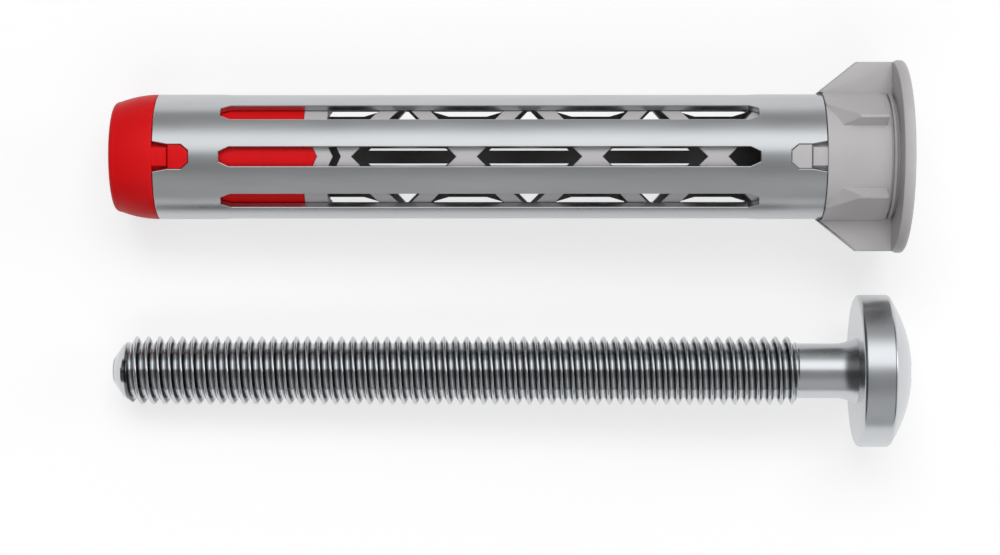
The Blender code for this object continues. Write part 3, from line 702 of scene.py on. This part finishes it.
def addWings(target):
    collar = sleeve["radius"] + flange["collarStep"]
    root = (flange["bore"] + collar) / 2
    start = sleeve["top"] + 2 * cage["endClearance"]
    lap = sleeve["top"] - flange["wingLap"]
    lapRadius = sleeve["radius"] + flange["collarStep"] / 3
    wing = [
        (start, root),
        (start, lapRadius),
        (lap, lapRadius),
        (lap, collar),
        (sleeve["top"] + flange["wingRamp"], flange["wingRadius"]),
        (flange["thickness"] / 2, flange["wingRadius"]),
        (flange["thickness"] / 2, root),
    ]
    other = [(height, -across) for height, across in wing]
    wings = plate("wings", [wing, other], flange["wingThickness"], flange["wingEdge"], sideView)
    combine(target, wings, "UNION")


def ribPlace(radius, angle):
    return radius * math.sin(angle), radius * math.cos(angle)


def addRibs(target):
    collar = sleeve["radius"] + flange["collarStep"]
    root = (flange["bore"] + collar) / 2
    start = sleeve["top"] + 2 * cage["endClearance"]
    section = [
        ribPlace(root, flange["ribAngle"]),
        ribPlace(flange["ribRadius"], flange["ribAngle"]),
        ribPlace(flange["ribRadius"], flange["ribAngle"] + flange["ribLand"]),
        ribPlace(collar + flange["ribFootRise"], flange["ribFootAngle"]),
        ribPlace(root, flange["ribFootAngle"]),
    ]
    length = -flange["ribEndGap"] - start
    rampFoot = start + flange["ribRampStart"]
    corners = [
        Vector((*ribPlace(collar, flange["ribSkewAngle"]), start)),
        Vector((*ribPlace(collar, flange["ribAngle"]), rampFoot)),
        Vector((*ribPlace(flange["ribRadius"], flange["ribAngle"]), rampFoot + flange["ribRampLength"])),
    ]
    normal = (corners[1] - corners[0]).cross(corners[2] - corners[0]).normalized()
    for mirrorX in (1, -1):
        for mirrorY in (1, -1):
            raised = Matrix.Translation((0, 0, start + length / 2))
            pad = plate("rib", [section], length, flange["ribEdge"], raised)
            work = bmesh.new()
            work.from_mesh(pad.data)
            everything = work.verts[:] + work.edges[:] + work.faces[:]
            cut = bmesh.ops.bisect_plane(
                work, geom=everything, dist=tiny, plane_co=corners[0], plane_no=normal, clear_outer=True
            )
            rim = [item for item in cut["geom_cut"] if isinstance(item, bmesh.types.BMEdge)]
            bmesh.ops.holes_fill(work, edges=rim)
            bmesh.ops.scale(work, vec=(mirrorX, mirrorY, 1), verts=work.verts)
            bmesh.ops.recalc_face_normals(work, faces=work.faces)
            work.to_mesh(pad.data)
            work.free()
            combine(target, pad, "UNION")


def frontWindows():
    # square windows on the middle line and lens-shaped ones between them, all cut straight through
    half = cage["pitch"] / 2
    reach = cage["frontReach"]
    first = nose["plugTop"] + cage["firstNode"]
    ringTop = nose["plugTop"] + cage["endRing"]
    foot = reach - half + cage["frontStrut"]
    edge = cage["radius"] + cage["fit"]
    outlines = []
    for index in range(cage["windows"]):
        centre = first + half + index * cage["pitch"]
        outlines.append([(centre - reach, 0), (centre, reach), (centre + reach, 0), (centre, -reach)])
    start = first + cage["windows"] * cage["pitch"] + half - reach
    end = sleeve["top"] - cage["lastWindowFromCollar"]
    outlines.append([(start, 0), (end, end - start), (end, start - end)])
    for index in range(cage["windows"] + 1):
        centre = first + index * cage["pitch"]
        low = centre - (edge - foot)
        lens = [(centre, foot), (centre + edge - foot, edge)]
        if low < ringTop:
            lens += [(ringTop, edge), (ringTop, foot + centre - ringTop)]
        else:
            lens += [(low, edge)]
        outlines.append(lens)
        outlines.append([(height, -across) for height, across in lens])
    return outlines


def backWindows():
    # the same rows on the far side, with a spine left along the middle
    half = cage["pitch"] / 2
    first = nose["plugTop"] + cage["firstNode"]
    ringTop = nose["plugTop"] + cage["endRing"]
    spine = cage["spine"] / 2
    edge = cage["radius"] + cage["fit"]
    outlines = []
    for index in range(cage["windows"]):
        centre = first + half + index * cage["pitch"]
        base = cage["backReach"] - spine
        outlines.append([(centre - base, spine), (centre, cage["backReach"]), (centre + base, spine)])
    for index in range(cage["windows"] + 1):
        centre = first + index * cage["pitch"]
        shape = [
            (cage["backLensBaseLength"] / 2, cage["backLensBase"]),
            (cage["backLensLength"] / 2, cage["backLensShoulder"]),
            (cage["backLensLength"] / 2, edge),
        ]
        right = [(centre + offset, across) for offset, across in shape]
        left = [(centre - offset, across) for offset, across in reversed(shape)]
        if left[0][0] < ringTop:
            left = [(ringTop, edge), (ringTop, cage["backLensShoulder"]), left[2]]
        outlines.append(right + left)
    return outlines + [[(height, -across) for height, across in outline] for outline in outlines]


def slitOutline():
    # the arrow-shaped slit between the plug's tongue and the first node
    slope = nose["tongueLength"] / nose["tongueHalfSpan"]
    right = nose["plugTop"] + cage["firstNode"]
    left = right - cage["slit"]
    span = cage["slitHalfSpan"]
    drop = slope * span
    upper = [(left, 0), (left - drop, span), (right - drop, span), (right, 0)]
    return upper + [(right - drop, -span), (left - drop, -span)]


def makeMoulding():
    piece = turnProfile("flange_moulding", flangeProfile())
    addWings(piece)
    addRibs(piece)
    addTabs(piece, sleeve["top"], -1)
    depth = cage["radius"] + cage["fit"]
    overlap = cage["cutOverlap"]
    front = sideView.copy()
    front.translation = (0, (depth - overlap) / 2, 0)
    back = sideView.copy()
    back.translation = (0, -depth / 2, 0)
    combine(piece, plate("frontCut", frontWindows(), depth + overlap, 0.0, front), "DIFFERENCE")
    combine(piece, plate("backCut", backWindows(), depth, 0.0, back), "DIFFERENCE")
    combine(piece, plate("slitCut", [slitOutline()], depth + overlap, 0.0, front), "DIFFERENCE")
    tip = nose["plugTop"] + nose["tongueLength"] + cage["endClearance"]
    foot = nose["plugTop"] - cage["endClearance"]
    span = nose["tongueHalfSpan"] * (tip - foot) / nose["tongueLength"]
    tongue = [(tip, 0), (foot, span), (foot, -span)]
    combine(piece, plate("tongueCut", [tongue], 3 * sleeve["radius"], 0.0, sideView), "DIFFERENCE")
    return piece


# Threads

threadShape = [
    (0.0, 0.0),
    (0.03, 0.0),
    (0.07, 0.02),
    (0.11, 0.08),
    (0.145, 0.17),
    (0.36, 0.84),
    (0.38, 0.9),
    (0.41, 0.97),
    (0.45, 1.0),
    (0.55, 1.0),
    (0.59, 0.97),
    (0.62, 0.9),
    (0.64, 0.84),
    (0.855, 0.17),
    (0.89, 0.08),
    (0.93, 0.02),
    (0.97, 0.0),
]  # (share of a pitch, share of the depth); crest at the start


def threadRows(crest, root, pitch, bottom, top, steps, limit):
    # rings of (radius, height, angle) that follow the helix; heights are held between bottom and top
    rows = []
    first = math.floor(bottom / pitch) - 2
    last = math.ceil(top / pitch) + 2
    for turn in range(first, last):
        for share, depth in threadShape:
            row = []
            for step in range(steps + 1):
                height = (turn + share + step / steps) * pitch
                held = min(max(height, bottom), top)
                radius = crest + (root - crest) * depth
                row.append((limit(radius, held), held, 2 * math.pi * (step + 0.5) / steps))
            rows.append(row)
    return rows


def threadFaces(work, rows):
    # joins the rows; the end of each row is the start of the row one turn later
    verts = []
    for row in rows:
        verts.append([work.verts.new((r * math.cos(a), r * math.sin(a), z)) for r, z, a in row])
    for low, high in zip(verts, verts[1:]):
        for step in range(len(low) - 1):
            corners = (low[step], low[step + 1], high[step + 1], high[step])
            heights = {round(vert.co.z / tiny) for vert in corners}
            if len(heights) > 1:
                work.faces.new(corners)
    loose = [vert for vert in work.verts if not vert.link_faces]
    bmesh.ops.delete(work, geom=loose, context="VERTS")
    bmesh.ops.remove_doubles(work, verts=work.verts, dist=tiny)
    bmesh.ops.dissolve_degenerate(work, edges=work.edges, dist=tiny)


# Machine screw

screw = {
    "threadRadius": 3.0 * mm,
    "rootRadius": 2.39 * mm,
    "pitch": 1.0 * mm,
    "length": 65.0 * mm,
    "tipRadius": 2.3 * mm,
    "tipChamfer": 1.1 * mm,
    "tipCone": 0.85 * mm,  # length of the blunt cone before the thread
    "endRadius": 1.05 * mm,
    "neckLength": 5.1 * mm,
    "runOut": 0.45 * mm,
    "flareLength": 1.7 * mm,
    "flareRadius": 2.95 * mm,
    "flareSteps": 8,
    "flareGap": 0.02 * mm,  # a narrow flat between the flare and the head's underside
    "headRadius": 6.65 * mm,
    "headRim": 2.95 * mm,
    "headEdge": 0.3 * mm,
    "headEdgeInset": 0.1 * mm,  # of the point halfway round that edge
    "edgeBand": 0.06 * mm,  # keeps the shading of an edge from running over the face beside it
    "dome": 1.85 * mm,
    "recessDepth": 2.9 * mm,
    "recessSpan": 5.6 * mm,
    "recessFloorSpan": 2.6 * mm,
    "recessBlade": 1.05 * mm,
    "recessCore": 1.45 * mm,
    "recessCoreSpread": 1.5,  # widening of the core towards its mouth
    "recessCoreShare": 0.7,  # share of the depth at which the core turns into a point
    "recessPoint": 0.2 * mm,
    "threadSteps": 48,
}


def addRings(work, profile, steps):
    # turns (radius, height) points into rings with faces between them, on the same angles as the thread
    rings = []
    for radius, height in profile:
        ring = []
        for step in range(steps):
            angle = 2 * math.pi * (step + 0.5) / steps
            ring.append(work.verts.new((radius * math.cos(angle), radius * math.sin(angle), height)))
        rings.append(ring)
    for upper, lower in zip(rings, rings[1:]):
        for step in range(steps):
            after = (step + 1) % steps
            work.faces.new((upper[step], lower[step], lower[after], upper[after]))
    return rings


def makeScrew():
    steps = screw["threadSteps"]
    end = -screw["length"]
    bottom = end + screw["tipCone"]
    top = -screw["neckLength"]
    rootRadius = screw["rootRadius"]

    def limit(radius, height):
        fromTip = height - bottom
        rise = screw["threadRadius"] - screw["tipRadius"]
        cone = screw["tipRadius"] + rise * fromTip / screw["tipChamfer"]
        toNeck = (top - height) / screw["runOut"]
        fade = rootRadius + (screw["threadRadius"] - rootRadius) * min(max(toNeck, 0.0), 1.0)
        return min(radius, max(cone, screw["tipRadius"]), max(fade, rootRadius))

    work = bmesh.new()
    rows = threadRows(screw["threadRadius"], rootRadius, screw["pitch"], bottom, top, steps, limit)
    threadFaces(work, rows)

    edge = screw["headEdge"]
    inner = screw["headRadius"] - edge
    domeRadius = (inner**2 + screw["dome"] ** 2) / (2 * screw["dome"])
    domeCentre = screw["headRim"] + screw["dome"] - domeRadius
    domeEdge = math.degrees(math.asin(inner / domeRadius))
    flareDrop = screw["flareRadius"] - rootRadius
    band = screw["edgeBand"]
    profile = arc((0.0, domeCentre), domeRadius, 90, 90 - domeEdge, 24)
    inset = screw["headEdgeInset"]
    profile += [(screw["headRadius"] - inset, screw["headRim"] - inset)]
    for height in (screw["headRim"] - edge, screw["headRim"] - edge - band, edge + band, edge):
        profile.append((screw["headRadius"], height))
    profile += [(screw["headRadius"] - inset, inset), (inner, 0.0), (inner - band, 0.0)]
    profile += [(screw["flareRadius"] + screw["flareGap"], 0.0)]
    for step in range(screw["flareSteps"] + 1):
        share = step / screw["flareSteps"]
        radius = screw["flareRadius"] - flareDrop * math.sin(share * math.pi / 2)
        profile.append((radius, -share * screw["flareLength"]))
    profile += [(rootRadius, top + band), (rootRadius, top)]
    rings = addRings(work, profile[1:], steps)
    addRings(work, [(screw["tipRadius"], bottom), (screw["endRadius"], end)], steps)
    apex = work.verts.new((0.0, 0.0, profile[0][1]))
    for step in range(steps):
        work.faces.new((apex, rings[0][step], rings[0][(step + 1) % steps]))
    bmesh.ops.remove_doubles(work, verts=work.verts, dist=weldDistance)
    openEdges = [item for item in work.edges if item.is_boundary]
    bmesh.ops.holes_fill(work, edges=openEdges)
    bmesh.ops.recalc_face_normals(work, faces=work.faces)
    print("screw open edges:", len([item for item in work.edges if not item.is_manifold]))
    piece = pieceFrom(work, "pan_head_screw")

    peak = screw["headRim"] + screw["dome"]
    above = peak + screw["dome"]
    floor = peak - screw["recessDepth"]
    slope = (screw["recessSpan"] - screw["recessFloorSpan"]) / 2 / screw["recessDepth"]
    halfAbove = screw["recessSpan"] / 2 + slope * screw["dome"]
    halfFloor = screw["recessFloorSpan"] / 2
    blade = [(floor, -halfFloor), (above, -halfAbove), (above, halfAbove), (floor, halfFloor)]
    for index in range(2):
        turn = Matrix.Rotation(index * math.pi / 2, 4, "Z") @ sideView
        combine(piece, plate("blade", [blade], screw["recessBlade"], 0.0, turn), "DIFFERENCE")
    core = [
        (0.0, above),
        (screw["recessCore"] * screw["recessCoreSpread"], above),
        (screw["recessCore"], peak - screw["recessCoreShare"] * screw["recessDepth"]),
        (0.0, floor - screw["recessPoint"]),
    ]
    combine(piece, turnProfile("core", core, steps, closed=False), "DIFFERENCE")
    return piece


def makeInsert():
    low = sleeve["bottom"] + insert["fromSleeveEnd"]
    high = low + insert["length"]
    middle = (low + high) / 2
    c = insert["chamfer"]
    groove = insert["groove"] / 2
    r = insert["radius"]
    profile = [
        (insert["threadMajor"], high),
        (r - c, high),
        (r, high - c),
        (r, middle + groove),
        (r - insert["grooveDepth"], middle + groove),
        (r - insert["grooveDepth"], middle - groove),
        (r, middle - groove),
        (r, low + c),
        (r - c, low),
        (insert["threadMajor"], low),
    ]
    steps = screw["threadSteps"]
    work = bmesh.new()
    addRings(work, profile, steps)

    def limit(radius, height):
        fromEnd = min(height - low, high - height)
        return max(radius, insert["threadMajor"] - fromEnd)

    crest = insert["threadMinor"]
    rows = threadRows(crest, insert["threadMajor"], insert["pitch"], low, high, steps, limit)
    threadFaces(work, rows)
    bmesh.ops.remove_doubles(work, verts=work.verts, dist=weldDistance)
    bmesh.ops.recalc_face_normals(work, faces=work.faces)
    print("insert open edges:", len([item for item in work.edges if not item.is_manifold]))
    return pieceFrom(work, "insert_with_thread")


# Where the pieces lie

anchorRise = flange["radius"] - sleeve["radius"]
anchorTilt = math.atan2(anchorRise, flange["chamferRise"] - sleeve["bottom"])
anchorRoll = math.radians(2.5)
anchorTurn = Matrix.Rotation(-anchorTilt, 4, "Y") @ Matrix.Rotation(anchorRoll, 4, "X") @ lying
low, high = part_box("threaded_insert")
insertMiddle = (Vector(low) + Vector(high)) / 2
insertHeight = sleeve["bottom"] + insert["fromSleeveEnd"] + insert["length"] / 2
floorGap = 0.01 * mm  # keeps the nose's finer curve from dipping through the floor
anchorOrigin = insertMiddle - anchorTurn.to_3x3() @ Vector((0, 0, insertHeight))
anchorOrigin += Vector((0, 0, floorGap))
anchorPlace = Matrix.Translation(anchorOrigin) @ anchorTurn
anchorAxis = (anchorOrigin, anchorTurn.to_3x3() @ Vector((0, 0, 1)))
nylonGrey = makeMouldedNylon("moulded grey polyamide", greyNylon, anchorAxis)

screwRise = screw["headRadius"] - screw["threadRadius"]
screwRun = screw["headEdge"] + screw["length"] - screw["tipChamfer"]
screwTilt = math.atan2(screwRise, screwRun)
screwTurn = Matrix.Rotation(-screwTilt, 4, "Y") @ lying
low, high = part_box("machine_screw")
tipLean = screw["tipRadius"] * math.sin(screwTilt)
rimRise = (screw["headRim"] - screw["headEdge"]) * math.sin(screwTilt)
flatRadius = screw["headRadius"] * math.cos(math.pi / screw["threadSteps"])  # to the middle of a facet
screwOrigin = Vector(
    (
        low[0] + screw["length"] * math.cos(screwTilt) + tipLean,
        (low[1] + high[1]) / 2,
        high[2] - rimRise - flatRadius * math.cos(screwTilt),
    )
)
screwPlace = Matrix.Translation(screwOrigin) @ screwTurn
print("anchor axis at", anchorOrigin, "screw axis at", screwOrigin)

screwAxis = (screwOrigin, screwTurn.to_3x3() @ Vector((0, 0, 1)))
zincRolled = makeBrightZincPlate("bright zinc plated rolled steel", screwAxis, -screw["neckLength"])

sleevePiece = makeSleeve()
roundNormals(sleevePiece)
finishPiece(sleevePiece, anchorPlace, zincStrip, "steel_sleeve", None)
nosePiece = makeNose()
finishPiece(nosePiece, anchorPlace, nylonRed, "nose_plug")
mouldingPiece = makeMoulding()
finishPiece(mouldingPiece, anchorPlace, nylonGrey, "flange_cage")
insertPiece = makeInsert()
finishPiece(insertPiece, anchorPlace, zincBright, "threaded_insert", 60)
screwPiece = makeScrew()
finishPiece(screwPiece, screwPlace, zincRolled, "machine_screw", 60)


# Camera, floor and light

view = {
    "pixelsPerMm": 11.5,  # scale of the photograph at the anchor's axis
    "width": 1000,
    "height": 555,
    "flangeX": 890.3,  # where the photograph has the bearing face
    "axisY": 156.8,  # and the anchor's axis
    "faceX": 518.0,  # the place along the axis that the camera faces squarely
    "distance": 215.0 * mm,
    "sensor": 36.0,
}


def picturePoint(x, y):
    # a point of the photograph's frame, on the plane through the anchor's axis that faces the camera
    along = (x - view["flangeX"]) / view["pixelsPerMm"] * mm
    across = (view["axisY"] - y) / view["pixelsPerMm"] * mm
    axis = Vector((math.cos(anchorTilt), 0, math.sin(anchorTilt)))
    return anchorOrigin + along * axis + Vector((0, across, 0))


def makeCamera():
    data = bpy.data.cameras.new("camera")
    data.sensor_width = view["sensor"]
    data.lens = view["distance"] / mm * view["pixelsPerMm"] / view["width"] * view["sensor"]
    data.clip_start = 0.01
    camera = bpy.data.objects.new("camera", data)
    bpy.context.scene.collection.objects.link(camera)
    facing = Vector((-math.sin(anchorTilt), 0, math.cos(anchorTilt)))
    target = picturePoint(view["width"] / 2, view["height"] / 2)
    camera.location = picturePoint(view["faceX"], view["height"] / 2) + facing * view["distance"]
    forward = (target - camera.location).normalized()
    right = forward.cross(Vector((0, 1, 0))).normalized()
    up = right.cross(forward)
    turn = Matrix((right, up, -forward)).transposed().to_4x4()
    camera.matrix_world = Matrix.Translation(camera.location) @ turn
    bpy.context.scene.camera = camera


studio = {
    "floor": "F6F6F7",
    "floorBounce": "9C9C9C",  # the grey that its light on the object comes from
    "floorSize": 3.0,
    "floorGlow": 0.55,  # share of plain white in what the camera and the metal see of the floor
    "glowStrength": 1.18,  # brings the open floor, which the light leaves slightly grey, to white
    "world": "FBFCFD",
    "tent": [  # angle from straight above towards +Y, brightness there
        (-180, 0.42),
        (-90, 0.42),
        (-70, 0.56),
        (-44, 0.56),
        (-22, 0.33),
        (3, 0.38),
        (11, 1.6),
        (36, 1.6),
        (46, 1.05),
        (53, 0.6),
        (64, 0.42),
        (180, 0.36),
    ],
    "ends": [  # X of the direction, from -1 to 1, brightness there
        (-1.0, 0.12),
        (-0.5, 0.15),
        (-0.3, 1.0),
        (0.3, 1.0),
        (0.5, 0.25),
        (0.76, 0.25),
        (0.85, 1.8),
        (1.0, 1.8),
    ],
    "lamps": {  # angle from straight above towards +Y, distance, size and power in watts
        "side light": (30, 1.2, (1.0, 0.4), 4.0),
        "fill": (-34, 1.2, (1.4, 0.5), 2.5),
    },
}


def makeFloor():
    # white card; the camera and the metal see it mixed with plain white, so its shadows stay but are faint
    work = bmesh.new()
    bmesh.ops.create_grid(work, x_segments=1, y_segments=1, size=studio["floorSize"] / 2)
    floor = pieceFrom(work, "floor")
    material, tree, shader = newMaterial("matt white card")[:3]
    shader.inputs["Roughness"].default_value = 0.9
    shader.inputs["Specular IOR Level"].default_value = 0.0
    rays = addNode(tree, "ShaderNodeLightPath").outputs
    seen = calculate(tree, "MAXIMUM", rays["Is Camera Ray"], rays["Is Glossy Ray"])
    seen = calculate(tree, "MAXIMUM", seen, rays["Is Transmission Ray"])
    card = mixColours(tree, seen, colour(studio["floorBounce"]), colour(studio["floor"]))
    tree.links.new(card, shader.inputs["Base Color"])
    share = calculate(tree, "MULTIPLY", seen, studio["floorGlow"])
    glow = {"Color": colour("FFFFFF"), "Strength": studio["glowStrength"]}
    white = addNode(tree, "ShaderNodeEmission", None, glow)
    mixed = addNode(
        tree, "ShaderNodeMixShader", None,
        {0: share, 1: shader.outputs["BSDF"], 2: white.outputs["Emission"]},
    )
    tree.links.new(mixed.outputs["Shader"], tree.nodes["Material Output"].inputs["Surface"])
    floor.data.materials.append(material)


def makeLamp(name, angle, distance, size, power):
    # an area lamp over the object, which the metal doesn't mirror
    data = bpy.data.lights.new(name, "AREA")
    data.shape = "RECTANGLE"
    data.size, data.size_y = size
    data.energy = power
    lamp = bpy.data.objects.new(name, data)
    bpy.context.scene.collection.objects.link(lamp)
    turn = Matrix.Rotation(-math.radians(angle), 4, "X")
    lamp.matrix_world = turn @ Matrix.Translation((0, 0, distance))
    lamp.visible_glossy = False


def makeWorld():
    # a light tent seen from inside: a long softbox towards +Y, grey elsewhere, dark towards -X
    world = bpy.data.worlds.new("studio")
    bpy.context.scene.world = world
    world.use_nodes = True
    tree = world.node_tree
    tree.nodes.clear()
    way = addNode(tree, "ShaderNodeTexCoord").outputs["Generated"]
    parts = addNode(tree, "ShaderNodeSeparateXYZ", None, {"Vector": way}).outputs
    degrees = calculate(tree, "DEGREES", calculate(tree, "ARCTAN2", parts["Y"], parts["Z"]))
    tent = addRamp(tree, degrees, studio["tent"], -180, 180)
    ends = addRamp(tree, parts["X"], studio["ends"], -1, 1)
    strength = calculate(tree, "MULTIPLY", tent, ends)
    glow = addNode(
        tree, "ShaderNodeBackground", None,
        {"Color": colour(studio["world"]), "Strength": strength},
    )
    addNode(tree, "ShaderNodeOutputWorld", None, {"Surface": glow.outputs["Background"]})


makeCamera()
makeFloor()
makeWorld()
for lampName, lampValues in studio["lamps"].items():
    makeLamp(lampName, *lampValues)
bpy.context.scene.view_settings.view_transform = "Standard"
print("studio made")
